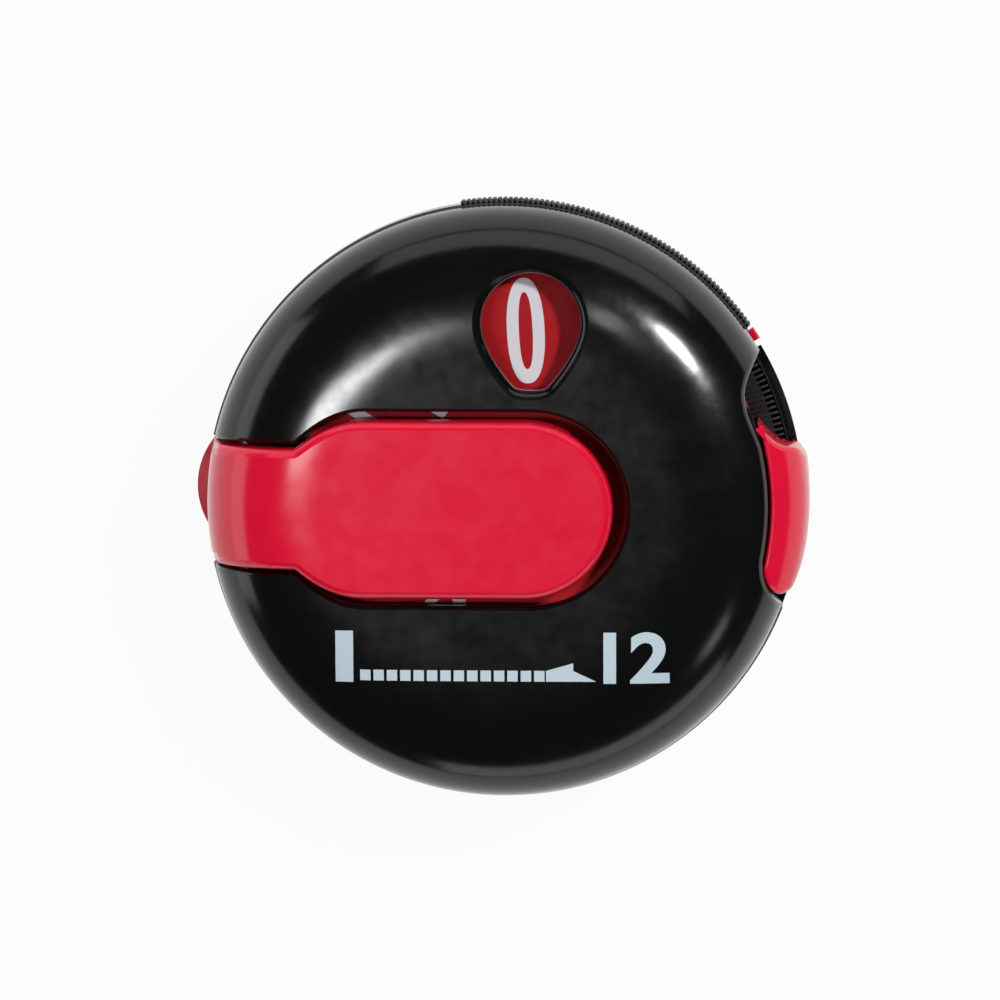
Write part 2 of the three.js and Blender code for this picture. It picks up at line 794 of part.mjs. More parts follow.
function resetSpring() {
  const radius = 0.55;
  const turns = 7;
  const perTurn = 10;
  const track = (sliderInner + sliderOuter) / 2 - 0.2;
  const from = new THREE.Vector3(...at(track, coilAngle[0]), floorZ + 0.85);
  const to = new THREE.Vector3(...at(track, coilAngle[1]), floorZ + 0.85);
  const along = to.clone().sub(from).normalize();
  const side = new THREE.Vector3(0, 0, 1).cross(along);
  const points = Array.from({ length: turns * perTurn + 1 }, (_, i) => {
    const angle = (2 * Math.PI * i) / perTurn;
    const place = from.clone().lerp(to, i / (turns * perTurn));
    place.addScaledVector(side, radius * Math.cos(angle));
    place.z += radius * Math.sin(angle);
    return place.toArray();
  });
  return wire(points, 0.15);
}

// ---------- rear clip ----------
function rearClip() {
  const tip = clipHalf - caseRadius - clipTipProud;
  const plan = new THREE.Shape();
  plan.moveTo(clipTail, -clipHalf);
  plan.lineTo(clipTail, clipHalf);
  plan.lineTo(tip, clipHalf);
  plan.absarc(tip, 0, clipHalf, Math.PI / 2, (3 * Math.PI) / 2, false);
  const plate = raised(plan, 0, clipThickness, 20);
  const jawX = jawStart - caseRadius;
  const jaw = across(
    outline([
      [jawX, clipThickness - 0.2],
      [jawX + jawLength, clipThickness - 0.2],
      [jawX + jawLength * 0.7, backZ - fit],
      [jawX + jawLength * 0.4, backZ - fit],
    ]),
    -clipHalf + 1.4,
    clipHalf - 1.4,
  );
  const ears = [-1, 1].map((side) => {
    const outer = side * (clipHalf - 0.5);
    const inner = side * (clipHalf - 0.5 - clipEarThickness);
    const [y0, y1] = [Math.min(outer, inner), Math.max(outer, inner)];
    return join(
      box(clipHingeX - clipEarHalf, clipHingeX + clipEarHalf, y0, y1, clipThickness - 0.2, clipHingeZ),
      rod(clipEarHalf, clipHingeX, clipHingeZ, y0, y1),
    );
  });
  const pinHole = rod(clipPinRadius + fit, clipHingeX, clipHingeZ, -clipHalf, clipHalf);
  return cut(join(plate, jaw, ...ears), pinHole);
}

function clipHingePin() {
  const end = clipHalf - 0.2 + clipLugThickness;
  return rod(clipPinRadius, clipHingeX, clipHingeZ, -end, end);
}

function clipSpring() {
  const half = clipHalf - 0.5 - clipEarThickness - 0.5;
  return torsionSpring(
    clipHingeX,
    clipHingeZ,
    half,
    clipPinRadius + 0.55,
    0.22,
    4,
    [clipHingeX + 5, clipThickness + 0.3],
    [clipHingeX - 5, backZ - 0.3],
  );
}

function caseScrew(angle) {
  const [x, y] = at(screwCircle, angle);
  const headZ = backZ + screwSink;
  const shank = post(caseScrewShank, x, y, headZ + 0.2, partingZ + 2);
  const head = post(caseScrewHead, x, y, headZ, headZ + caseScrewHeadHeight);
  return cut(join(shank, head), box(x - 2, x + 2, y - 0.12, y + 0.12, headZ - 1, headZ + 0.25));
}

// ---------- assembly ----------
const group = new THREE.Group();

function add(name, body, material) {
  const { vertProperties, triVerts } = body.getMesh();
  const geometry = new THREE.BufferGeometry();
  geometry.setAttribute("position", new THREE.BufferAttribute(new Float32Array(vertProperties), 3));
  geometry.setIndex(new THREE.BufferAttribute(new Uint32Array(triVerts), 1));
  geometry.computeVertexNormals();
  const mesh = new THREE.Mesh(geometry, material);
  mesh.name = name;
  group.add(mesh);
}

add("front_cover", frontCover(), black);
add("back_case", backCase(), black);
screwAngles.forEach((angle, i) => add(`case_screw_${i + 1}`, caseScrew(angle), steel));
add("count_button", countButton(), pink);
add("button_hinge_pin", buttonHingePin(), steel);
add("button_spring", buttonSpring(), steel);
add("drive_pawl", drivePawl(), steel);
add("drive_pawl_screw", drivePawlScrew(), steel);
add("number_dial", numberDial(), red);
add("crown_ratchet", crownRatchet(), acetal);
add("hold_ratchet", holdRatchet(), acetal);
add("dial_axle", dialAxle(), steel);
add("axle_clip", axleClip(), steel);
add("return_spring", returnSpring(), steel);
add("hold_pawl", holdPawl(), steel);
add("hold_pawl_screw", pawlScrew(), steel);
add("reset_lever", resetLever(), pink);
add("reset_spring", resetSpring(), steel);
add("rear_clip", rearClip(), pink);
add("clip_hinge_pin", clipHingePin(), steel);
add("clip_spring", clipSpring(), steel);

export default group;
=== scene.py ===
import json
import math

import bmesh
import bpy
from mathutils import Matrix, Vector


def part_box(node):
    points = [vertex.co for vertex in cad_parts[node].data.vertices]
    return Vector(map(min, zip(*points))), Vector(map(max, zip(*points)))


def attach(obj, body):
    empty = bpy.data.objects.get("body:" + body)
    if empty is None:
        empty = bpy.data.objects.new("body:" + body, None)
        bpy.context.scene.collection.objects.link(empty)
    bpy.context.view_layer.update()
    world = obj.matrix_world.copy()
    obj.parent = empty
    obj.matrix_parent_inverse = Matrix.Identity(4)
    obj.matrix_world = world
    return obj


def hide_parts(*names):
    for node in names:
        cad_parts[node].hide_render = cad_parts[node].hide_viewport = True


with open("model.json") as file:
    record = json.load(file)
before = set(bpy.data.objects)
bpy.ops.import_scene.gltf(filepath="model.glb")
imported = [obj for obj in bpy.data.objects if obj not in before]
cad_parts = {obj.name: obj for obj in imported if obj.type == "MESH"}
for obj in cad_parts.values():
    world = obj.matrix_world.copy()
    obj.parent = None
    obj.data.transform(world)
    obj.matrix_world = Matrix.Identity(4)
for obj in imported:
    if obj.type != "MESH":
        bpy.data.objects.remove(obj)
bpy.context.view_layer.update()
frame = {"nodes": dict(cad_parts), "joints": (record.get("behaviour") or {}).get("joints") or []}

# A round tally counter. Shapes are worked out in millimetres and scaled to metres when a piece is finished.
joints = {joint["name"]: joint for joint in frame["joints"]}


def boxMm(node):
    return [corner * 1000 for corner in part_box(node)]


coverBox, caseBox = boxMm("front_cover"), boxMm("back_case")
buttonBox, dialBox = boxMm("count_button"), boxMm("number_dial")
dialX, dialY = (value * 1000 for value in joints["dial_spin"]["pos_m"][:2])
caseRadius = -caseBox[0].y
coverRadius = coverBox[1].y
crownZ = coverBox[1].z
depths = {"dome": 6.6, "wall": 5.4}
partingZ = crownZ - depths["dome"]
backZ = partingZ - depths["wall"]
dialTopZ = dialBox[1].z
print("frame read: case radius", round(caseRadius, 2), "crown", round(crownZ, 2))


camera = {
    "target": (-0.3, 0.0, partingZ),
    "distance": 600.0,
    "leanX": 0.0436,
    "leanY": 0.1045,
    "lens": 307,
}


def makeCamera(values):
    data = bpy.data.cameras.new("camera")
    data.lens = values["lens"]
    data.clip_start, data.clip_end = 0.01, 20
    holder = bpy.data.objects.new("camera", data)
    bpy.context.scene.collection.objects.link(holder)
    away = Vector((values["leanX"], values["leanY"], 1)).normalized()
    target = Vector(values["target"])
    holder.location = (target + away * values["distance"]) / 1000
    right = Vector((0, 1, 0)).cross(away).normalized()
    upward = away.cross(right)
    holder.rotation_euler = Matrix((right, upward, away)).transposed().to_euler()
    bpy.context.scene.camera = holder


makeCamera(camera)
bpy.context.scene.view_settings.view_transform = "Standard"


def domeAt(dome, x, y):
    return domeRing(dome, math.hypot(x, y))


def domeRing(dome, radius):
    if radius <= dome["flat"]:
        return dome["top"]
    share = min((radius - dome["flat"]) / (dome["rim"] - dome["flat"]), 1)
    return dome["foot"] + (dome["top"] - dome["foot"]) * (1 - share ** dome["power"]) ** (1 / dome["power"])


def domeProfile(dome, step, bends):
    flatSteps = max(1, round(dome["flat"] / step))
    points = [(dome["flat"] * i / flatSteps, dome["top"]) for i in range(flatSteps + 1)]
    for i in range(1, bends + 1):
        turn = math.pi / 2 * i / bends
        out = math.sin(turn) ** (2 / dome["power"])
        up = math.cos(turn) ** (2 / dome["power"]) if i < bends else 0
        width, height = dome["rim"] - dome["flat"], dome["top"] - dome["foot"]
        points.append((dome["flat"] + width * out, dome["foot"] + height * up))
    return points


def revolved(points, steps=256):
    shape = bmesh.new()
    chain = [shape.verts.new((radius, 0, z)) for radius, z in points]
    edges = [shape.edges.new(pair) for pair in zip(chain, chain[1:])]
    bmesh.ops.spin(
        shape,
        geom=chain + edges,
        cent=(0, 0, 0),
        axis=(0, 0, 1),
        angle=2 * math.pi,
        steps=steps,
        use_merge=True,
    )
    bmesh.ops.remove_doubles(shape, verts=shape.verts, dist=1e-4)
    bmesh.ops.recalc_face_normals(shape, faces=shape.faces)
    return shape


def arc(x, y, radius, fromDegrees, toDegrees, steps):
    turns = [math.radians(fromDegrees + (toDegrees - fromDegrees) * i / steps) for i in range(steps + 1)]
    return [(x + radius * math.cos(turn), y + radius * math.sin(turn)) for turn in turns]


def bezier(start, pullA, pullB, end, steps):
    points = []
    for i in range(steps + 1):
        t = i / steps
        parts = ((1 - t) ** 3, 3 * t * (1 - t) ** 2, 3 * t * t * (1 - t), t ** 3)
        points.append(tuple(sum(w * p[k] for w, p in zip(parts, (start, pullA, pullB, end))) for k in (0, 1)))
    return points


def tidyOutline(points):
    kept = []
    for point in points:
        if not kept or math.dist(point, kept[-1]) > 0.01:
            kept.append(point)
    return kept if math.dist(kept[0], kept[-1]) > 0.01 else kept[:-1]


def spread(outline, distance):
    moved = []
    count = len(outline)
    for i, (x, y) in enumerate(outline):
        before, after = outline[i - 1], outline[(i + 1) % count]
        along = Vector((after[0] - before[0], after[1] - before[1])).normalized()
        moved.append((x + along.y * distance, y - along.x * distance))
    return moved


def plug(outline, levels):
    shape = bmesh.new()
    count = len(outline)

    def place(level):
        offset, height = level
        return [(x, y, height(x, y) if callable(height) else height) for x, y in spread(outline, offset)]

    ring = [shape.verts.new(point) for point in place(levels[0])]
    edges = [shape.edges.new((ring[i], ring[(i + 1) % count])) for i in range(count)]
    bmesh.ops.contextual_create(shape, geom=edges)
    for level in levels[1:]:
        made = bmesh.ops.extrude_edge_only(shape, edges=edges)["geom"]
        fresh = {v for v in made if isinstance(v, bmesh.types.BMVert)}
        ring = [next(e.other_vert(v) for e in v.link_edges if e.other_vert(v) in fresh) for v in ring]
        for vert, point in zip(ring, place(level)):
            vert.co = point
        edges = [shape.edges.get((ring[i], ring[(i + 1) % count])) for i in range(count)]
    bmesh.ops.contextual_create(shape, geom=edges)
    bmesh.ops.recalc_face_normals(shape, faces=shape.faces)
    return shape


def lipLevels(dome, lip, bottom, top, side):
    levels = [(0, bottom)]
    bends = 7
    last = math.radians(60)
    for i in range(bends + 1):
        turn = last * i / bends
        rise = -lip + lip * math.sin(turn)
        levels.append((side * lip * (1 - math.cos(turn)), lambda x, y, rise=rise: domeAt(dome, x, y) + rise))
    run = 0.6 * lip
    offset = side * (lip * (1 - math.cos(last)) + run * math.sin(last))
    rise = -lip + lip * math.sin(last) + run * math.cos(last)
    levels.append((offset, lambda x, y, rise=rise: domeAt(dome, x, y) + rise))
    levels.append((offset, top))
    return levels


def slab(x0, x1, y0, y1, z0, z1, edge=0.0):
    shape = bmesh.new()
    bmesh.ops.create_cube(shape, size=1)
    bmesh.ops.scale(shape, vec=(x1 - x0, y1 - y0, z1 - z0), verts=shape.verts)
    bmesh.ops.translate(shape, vec=((x0 + x1) / 2, (y0 + y1) / 2, (z0 + z1) / 2), verts=shape.verts)
    if edge:
        bmesh.ops.bevel(
            shape, geom=shape.edges, offset=edge, segments=3, profile=0.5, affect="EDGES", material=-1
        )
    return shape


def drum(radius, x, y, z0, z1, segments=48, edge=0.0):
    shape = bmesh.new()
    bmesh.ops.create_cone(
        shape, cap_ends=True, segments=segments, radius1=radius, radius2=radius, depth=z1 - z0
    )
    bmesh.ops.translate(shape, vec=(x, y, (z0 + z1) / 2), verts=shape.verts)
    if edge:
        rims = [e for e in shape.edges if len(e.link_faces) == 2 and e.calc_face_angle(0) > 1]
        bmesh.ops.bevel(shape, geom=rims, offset=edge, segments=3, profile=0.5, affect="EDGES", material=-1)
    return shape


def lieAlongY(shape, x, z):
    bmesh.ops.rotate(shape, cent=(0, 0, 0), matrix=Matrix.Rotation(math.pi / 2, 3, "X"), verts=shape.verts)
    bmesh.ops.translate(shape, vec=(x, 0, z), verts=shape.verts)
    return shape


def sectorOutline(inner, outer, fromDegrees, toDegrees, steps=40):
    outside = arc(0, 0, outer, fromDegrees, toDegrees, steps)
    return tidyOutline(outside + arc(0, 0, inner, toDegrees, fromDegrees, steps))


def together(*shapes):
    whole = bmesh.new()
    for shape in shapes:
        part = bpy.data.meshes.new("part")
        shape.to_mesh(part)
        shape.free()
        whole.from_mesh(part)
        bpy.data.meshes.remove(part)
    return whole


def asObject(name, shape):
    mesh = bpy.data.meshes.new(name)
    shape.to_mesh(mesh)
    shape.free()
    holder = bpy.data.objects.new(name, mesh)
    bpy.context.scene.collection.objects.link(holder)
    return holder


def carve(piece, shape, operation="DIFFERENCE", crossing=False):
    tool = asObject("tool", shape)
    modifier = piece.modifiers.new("carve", "BOOLEAN")
    modifier.operation = operation
    modifier.solver = "EXACT"
    modifier.use_self = crossing
    modifier.object = tool
    bpy.context.view_layer.update()
    result = bpy.data.meshes.new_from_object(piece.evaluated_get(bpy.context.evaluated_depsgraph_get()))
    piece.modifiers.clear()
    piece.data = result
    bpy.data.objects.remove(tool)
    return piece


def domeNormal(dome, x, y):
    radius = math.hypot(x, y)
    share = min(max((radius - dome["flat"]) / (dome["rim"] - dome["flat"]), 0), 1)
    if share == 0:
        return Vector((0, 0, 1))
    rise = (1 - share ** dome["power"]) ** (1 / dome["power"])
    outward = share ** (dome["power"] - 1) / (dome["rim"] - dome["flat"])
    upward = rise ** (dome["power"] - 1) / (dome["top"] - dome["foot"])
    return Vector((outward * x / radius, outward * y / radius, upward)).normalized()


def smoothDome(piece, dome):
    # The dome keeps its own true normals right up to each cut, so the edges show no ripples.
    mesh = piece.data
    normals = [corner.vector.copy() for corner in mesh.corner_normals]
    for polygon in mesh.polygons:
        centre = polygon.center * 1000
        onDome = abs(centre.z - domeAt(dome, centre.x, centre.y)) < 0.03 or centre.z < dome["foot"] + 1.5
        if not onDome or polygon.normal.dot(domeNormal(dome, centre.x, centre.y)) < 0.985:
            continue
        for loop in polygon.loop_indices:
            place = mesh.vertices[mesh.loops[loop].vertex_index].co * 1000
            normals[loop] = domeNormal(dome, place.x, place.y)
    mesh.normals_split_custom_set(normals)


def finishPiece(piece, material, body, nodes=(), sharp=38, weighted=True, dome=None):
    shape = bmesh.new()
    shape.from_mesh(piece.data)
    bmesh.ops.scale(shape, vec=(0.001, 0.001, 0.001), verts=shape.verts)
    bmesh.ops.remove_doubles(shape, verts=shape.verts, dist=2e-7)
    for face in shape.faces:
        face.smooth = True
    for edge in shape.edges:
        edge.smooth = len(edge.link_faces) == 2 and edge.calc_face_angle(0) < math.radians(sharp)
    shape.to_mesh(piece.data)
    shape.free()
    piece.data.materials.clear()
    piece.data.materials.append(material)
    if dome:
        smoothDome(piece, dome)
    elif weighted:
        normals = piece.modifiers.new("normals", "WEIGHTED_NORMAL")
        normals.keep_sharp = True
        normals.weight = 80
    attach(piece, body)
    if nodes:
        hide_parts(*nodes)
    print("made", piece.name, len(piece.data.polygons), "faces")
    return piece


def plastic(name, color, roughness, shift, grain=900, dents=0.02, glow=0.0):
    material = bpy.data.materials.new(name)
    material.use_nodes = True
    nodes, links = material.node_tree.nodes, material.node_tree.links
    shader = nodes["Principled BSDF"]
    place = nodes.new("ShaderNodeTexCoord")
    cloud = nodes.new("ShaderNodeTexNoise")
    cloud.inputs["Scale"].default_value = 160
    cloud.inputs["Detail"].default_value = 4
    links.new(place.outputs["Object"], cloud.inputs["Vector"])
    tint = nodes.new("ShaderNodeMix")
    tint.data_type = "RGBA"
    tint.inputs["A"].default_value = (*color, 1)
    tint.inputs["B"].default_value = (*[min(1, c * (1 + shift)) for c in color], 1)
    links.new(cloud.outputs["Fac"], tint.inputs["Factor"])
    links.new(tint.outputs["Result"], shader.inputs["Base Color"])
    scuffs = nodes.new("ShaderNodeTexNoise")
    scuffs.inputs["Scale"].default_value = 420
    scuffs.inputs["Detail"].default_value = 6
    scuffs.inputs["Roughness"].default_value = 0.7
    links.new(place.outputs["Object"], scuffs.inputs["Vector"])
    gloss = nodes.new("ShaderNodeMapRange")
    gloss.inputs["From Min"].default_value = 0.35
    gloss.inputs["From Max"].default_value = 0.75
    gloss.inputs["To Min"].default_value = roughness
    gloss.inputs["To Max"].default_value = roughness * 1.5
    links.new(scuffs.outputs["Fac"], gloss.inputs["Value"])
    links.new(gloss.outputs["Result"], shader.inputs["Roughness"])
    skin = nodes.new("ShaderNodeTexNoise")
    skin.inputs["Scale"].default_value = grain
    skin.inputs["Detail"].default_value = 3
    links.new(place.outputs["Object"], skin.inputs["Vector"])
    bump = nodes.new("ShaderNodeBump")
    bump.inputs["Strength"].default_value = dents
    bump.inputs["Distance"].default_value = 0.0001
    links.new(skin.outputs["Fac"], bump.inputs["Height"])
    links.new(bump.outputs["Normal"], shader.inputs["Normal"])
    if glow:
        shader.inputs["Subsurface Weight"].default_value = glow
        shader.inputs["Subsurface Radius"].default_value = (1.0, 0.25, 0.25)
        shader.inputs["Subsurface Scale"].default_value = 0.001
    return material


def metal(name, color, roughness, stretch):
    material = bpy.data.materials.new(name)
    material.use_nodes = True
    nodes, links = material.node_tree.nodes, material.node_tree.links
    shader = nodes["Principled BSDF"]
    shader.inputs["Metallic"].default_value = 1
    shader.inputs["Base Color"].default_value = (*color, 1)
    place = nodes.new("ShaderNodeTexCoord")
    pull = nodes.new("ShaderNodeMapping")
    pull.inputs["Scale"].default_value = stretch
    links.new(place.outputs["Object"], pull.inputs["Vector"])
    lines = nodes.new("ShaderNodeTexNoise")
    lines.inputs["Scale"].default_value = 900
    links.new(pull.outputs["Vector"], lines.inputs["Vector"])
    gloss = nodes.new("ShaderNodeMapRange")
    gloss.inputs["To Min"].default_value = roughness * 0.7
    gloss.inputs["To Max"].default_value = roughness * 1.4
    links.new(lines.outputs["Fac"], gloss.inputs["Value"])
    links.new(gloss.outputs["Result"], shader.inputs["Roughness"])
    return material


blackGloss = plastic("blackGloss", (0.0026, 0.0028, 0.0028), 0.14, 0.3, grain=1100, dents=0.03)
blackMatt = plastic("blackMatt", (0.004, 0.004, 0.004), 0.42, 0.3, grain=1500, dents=0.15)
pinkGloss = plastic("pinkGloss", (0.80, 0.006, 0.040), 0.14, 0.06, grain=700, dents=0.02, glow=0.1)
dialRed = plastic("dialRed", (0.42, 0.003, 0.008), 0.5, 0.15, grain=1800, dents=0.12)
dialRed.node_tree.nodes["Principled BSDF"].inputs["Specular IOR Level"].default_value = 0.2
digitWhite = plastic("digitWhite", (0.78, 0.74, 0.8), 0.4, 0.05)
printWhite = plastic("printWhite", (0.56, 0.68, 0.75), 0.45, 0.08)
acetal = plastic("acetal", (0.78, 0.76, 0.7), 0.4, 0.05)
steel = metal("steel", (0.6, 0.61, 0.62), 0.28, (1, 1, 6))
springSteel = metal("springSteel", (0.42, 0.43, 0.45), 0.3, (1, 1, 1))
print("materials ready")

finishes = {
    "case_screw_1": steel,
    "case_screw_2": steel,
    "button_hinge_pin": steel,
    "button_spring": springSteel,
    "drive_pawl": springSteel,
    "drive_pawl_screw": steel,
    "number_dial": dialRed,
    "crown_ratchet": acetal,
    "hold_ratchet": acetal,
    "dial_axle": steel,
    "axle_clip": springSteel,
    "return_spring": springSteel,
    "hold_pawl": springSteel,
    "hold_pawl_screw": steel,
    "reset_spring": springSteel,
    "rear_clip": pinkGloss,
    "clip_hinge_pin": steel,
    "clip_spring": springSteel,
}
for name, material in finishes.items():
    node = frame["nodes"][name]
    node.data.materials.clear()
    node.data.materials.append(material)

# The clip's edges are softened by modifiers on its own solid.
weld = frame["nodes"]["rear_clip"].modifiers.new("weld", "WELD")
weld.merge_threshold = 0.00001
soft = frame["nodes"]["rear_clip"].modifiers.new("soft", "BEVEL")
soft.width = 0.0004
soft.segments = 3
soft.limit_method = "ANGLE"
soft.angle_limit = math.radians(40)
soft.harden_normals = True


cover = {"flat": 11.35, "rim": coverRadius, "top": crownZ, "foot": partingZ, "power": 2.5}
coverInside = {"flat": 11.35, "rim": coverRadius - 1.2, "top": crownZ - 1.2, "foot": partingZ, "power": 2.5}
button = {
    "padHalf": 6.2,
    "padStart": -9.5,
    "padEnd": buttonBox[1].x,
    "neckHalf": 4.2,
    "neckFlare": 4.8,
    "edge": 0.75,
    "thickness": 2.6,
    "sideGap": 0.6,
    "endGap": 1.0,
    "lip": 0.35,  # rounding of the cover's opening
}
window = {"x": 2.08, "y": 13.0, "radius": 3.43, "footY": 8.25, "footHalf": 1.15, "lip": 0.85}
bay = {"radius": 18.62, "lip": 0.4, "wallInner": 17.9, "wallTop": 15.9, "wallFrom": -14, "wallTo": 22}


def buttonOutline(sideGap, endGap):
    neck = button["neckHalf"] + sideGap / 2
    pad = button["padHalf"] + sideGap
    end = button["padEnd"] + endGap - pad
    start, flare = button["padStart"], button["neckFlare"]
    bend = start - flare
    far = -caseRadius - 3
    lower = bezier(
        (bend, -neck),
        (bend + 0.15 * flare, -neck - 0.27 * (pad - neck)),
        (bend + 0.5 * flare, -pad),
        (start, -pad),
        18,
    )
    left = [(far + (bend - far) * i / 14, -neck) for i in range(14)]
    bottom = [(start + (end - start) * i / 16, -pad) for i in range(1, 16)]
    half = left + lower + bottom
    upper = [(x, -y) for x, y in reversed(half)]
    return tidyOutline(half + arc(end, 0, pad, -90, 90, 56) + upper)


def windowOutline():
    x, y, radius = window["x"], window["y"], window["radius"]
    round_ = arc(x, y, radius, -22, 202, 72)
    side = round_[-1]
    foot = (x - window["footHalf"], window["footY"] + 0.25)
    left = bezier(side, (side[0] + 0.25, side[1] - 0.9), (foot[0] - 0.7, foot[1] + 0.7), foot, 10)
    base = bezier(
        foot, (foot[0] + 0.4, window["footY"] - 0.05), (x + window["footHalf"] - 0.4, window["footY"] - 0.05),
        (x + window["footHalf"], foot[1]), 8,
    )
    right = [(2 * x - px, py) for px, py in reversed(left)]
    return tidyOutline(round_ + left + base + right)


def polar(radius, degrees):
    turn = math.radians(degrees)
    return (radius * math.cos(turn), radius * math.sin(turn))


def bayOutline():
    outside = caseRadius + 3
    lower = bezier(polar(outside, -22.5), polar(20.9, -21.5), polar(18.9, -17.5), polar(bay["radius"], -11), 20)
    middle = arc(0, 0, bay["radius"], -11, 11, 24)
    upper = bezier(polar(bay["radius"], 11), polar(18.75, 15), polar(18.2, 19), polar(18.55, 23.5), 12)
    out = bezier(polar(18.55, 23.5), polar(18.8, 27), polar(19.9, 29.5), polar(outside, 35), 20)
    return tidyOutline((lower + middle + upper + out + arc(0, 0, outside, 35, -22.5, 24))[::-1])


def makeCover():
    outside = domeProfile(cover, 0.45, 44)
    inside = domeProfile(coverInside, 2.5, 14)
    piece = asObject("cover_shell", revolved(outside + inside[::-1]))
    low, high = partingZ - 2, crownZ + 3
    opening = buttonOutline(button["sideGap"], button["endGap"])
    carve(piece, plug(opening, lipLevels(cover, button["lip"], low, high, 1)), crossing=True)
    carve(piece, plug(windowOutline(), lipLevels(cover, window["lip"], dialTopZ - 0.5, high, 1)))
    carve(piece, plug(bayOutline(), lipLevels(cover, bay["lip"], low, high, 1)))
    return finishPiece(piece, blackGloss, "case", ["front_cover"], sharp=24, dome=cover)


makeCover()

# the wall that closes the cover's edge along the lever's bay
wallOutline = sectorOutline(bay["wallInner"], bay["radius"] + 0.02, bay["wallFrom"], bay["wallTo"])
bayWall = asObject("bay_wall", plug(wallOutline, [(0, dialTopZ + 0.3), (0, bay["wallTop"])]))
finishPiece(bayWall, blackGloss, "case")


buttonDome = {
    "flat": 12.6,
    "rim": coverRadius + 0.02,
    "top": buttonBox[1].z,
    "foot": partingZ,
    "power": 2.5,
}


def makeButton():
    inner = dict(buttonDome)
    inner["rim"] -= 2.2
    inner["top"] -= button["thickness"]
    foot = buttonBox[0].z + 0.4
    outside = domeProfile(buttonDome, 0.5, 44)
    outside += [(buttonDome["rim"], (partingZ + foot) / 2), (buttonDome["rim"], foot)]
    inside = [(inner["rim"], foot)] + domeProfile(inner, 3, 12)[::-1]
    piece = asObject("button_pad", revolved(outside + inside))
    carve(
        piece,
        plug(buttonOutline(0, 0), lipLevels(buttonDome, button["edge"], foot - 1, buttonBox[1].z + 3, -1)),
        "INTERSECT",
    )
    pocket = slab(-5.4, 7.2, -5.3, 5.3, buttonBox[1].z - 4, buttonBox[1].z - 1.5)
    carve(piece, pocket)
    return finishPiece(piece, pinkGloss, "button", ["count_button"], sharp=24, dome=buttonDome)


makeButton()
pivot = [value * 1000 for value in joints["button_press"]["pos_m"]]
barrel = {"radius": 1.5, "offset": 3.35, "half": 0.85, "edge": 0.15}
web = {"from": -20.4, "to": -18.4, "low": 9.2, "high": 12.0, "edge": 0.1}


def makeBarrel():
    parts = []
    for side in (-1, 1):
        near, far = side * barrel["offset"] - barrel["half"], side * barrel["offset"] + barrel["half"]
        tube = drum(barrel["radius"], 0, 0, near, far, edge=barrel["edge"])
        parts.append(lieAlongY(tube, pivot[0], pivot[2]))
        parts.append(slab(web["from"], web["to"], near, far, web["low"], web["high"], web["edge"]))
    piece = asObject("button_barrel", together(*parts))
    return finishPiece(piece, pinkGloss, "button", weighted=False)


makeBarrel()


backCase = {
    "roundWidth": 3.5,
    "roundHeight": 3.0,
    "wall": 1.4,
    "neckSlot": {"inner": -18.5, "half": 4.5, "low": 8.3},
    "screwRadius": 1.25,
    "screwSink": 0.9,
    # cuts round the lever: inner radius, from and to in degrees, low and high
    "bayCuts": [
        (20.33, -21, 35.5, 8.6, partingZ + 2),
        (18.8, -21, 35.5, 10.0, partingZ + 2),
        (18.8, 31, 43, 7.42, 8.9),
    ],
}


def makeBackCase():
    outer = [(0, backZ), (8, backZ)]
    centreR, centreZ = caseRadius - backCase["roundWidth"], backZ + backCase["roundHeight"]
    for i in range(25):
        turn = math.pi / 2 * i / 24
        radius = centreR + backCase["roundWidth"] * math.sin(turn)
        outer.append((radius, centreZ - backCase["roundHeight"] * math.cos(turn)))
    inner = caseRadius - backCase["wall"]
    floor = backZ + backCase["wall"]
    outer += [(caseRadius, partingZ - 0.25), (caseRadius - 0.18, partingZ - 0.02)]
    outer += [(inner, partingZ - 0.02), (inner, floor), (8, floor), (0, floor)]
    piece = asObject("case_tub", revolved(outer))
    for inside, start, end, low, high in backCase["bayCuts"]:
        carve(piece, plug(sectorOutline(inside, caseRadius + 3, start, end), [(0, low), (0, high)]))
    slot = backCase["neckSlot"]
    carve(piece, slab(-caseRadius - 2, slot["inner"], -slot["half"], slot["half"], slot["low"], partingZ + 2))
    for name in ("case_screw_1", "case_screw_2"):
        low, high = boxMm(name)
        x, y = (low.x + high.x) / 2, (low.y + high.y) / 2
        carve(piece, drum(backCase["screwRadius"], x, y, backZ - 1, backZ + backCase["screwSink"]))
    return finishPiece(piece, blackGloss, "case", ["back_case"])


makeBackCase()

grip = {"from": 36, "to": 98, "ridges": 62, "radius": caseRadius + 0.24, "low": 9.1, "ridgeHalf": 0.13}


def makeGrip():
    low, high, half = grip["low"], partingZ - 0.2, grip["ridgeHalf"]
    ridge = slab(caseRadius - 0.5, grip["radius"], -half, half, low, high, 0.06)
    bmesh.ops.rotate(
        ridge, cent=(0, 0, 0), matrix=Matrix.Rotation(math.radians(grip["from"]), 3, "Z"), verts=ridge.verts
    )
    bmesh.ops.spin(
        ridge,
        geom=ridge.verts[:] + ridge.edges[:] + ridge.faces[:],
        cent=(0, 0, 0),
        axis=(0, 0, 1),
        angle=math.radians(grip["to"] - grip["from"]),
        steps=grip["ridges"],
        use_duplicate=True,
    )
    band = plug(
        sectorOutline(caseRadius - 0.5, caseRadius + 0.12, grip["from"] - 0.3, grip["to"] + 0.3, 60),
        [(0, low), (0, high)],
    )
    piece = asObject("grip_band", together(band, ridge))
    return finishPiece(piece, blackMatt, "case", weighted=False)


makeGrip()


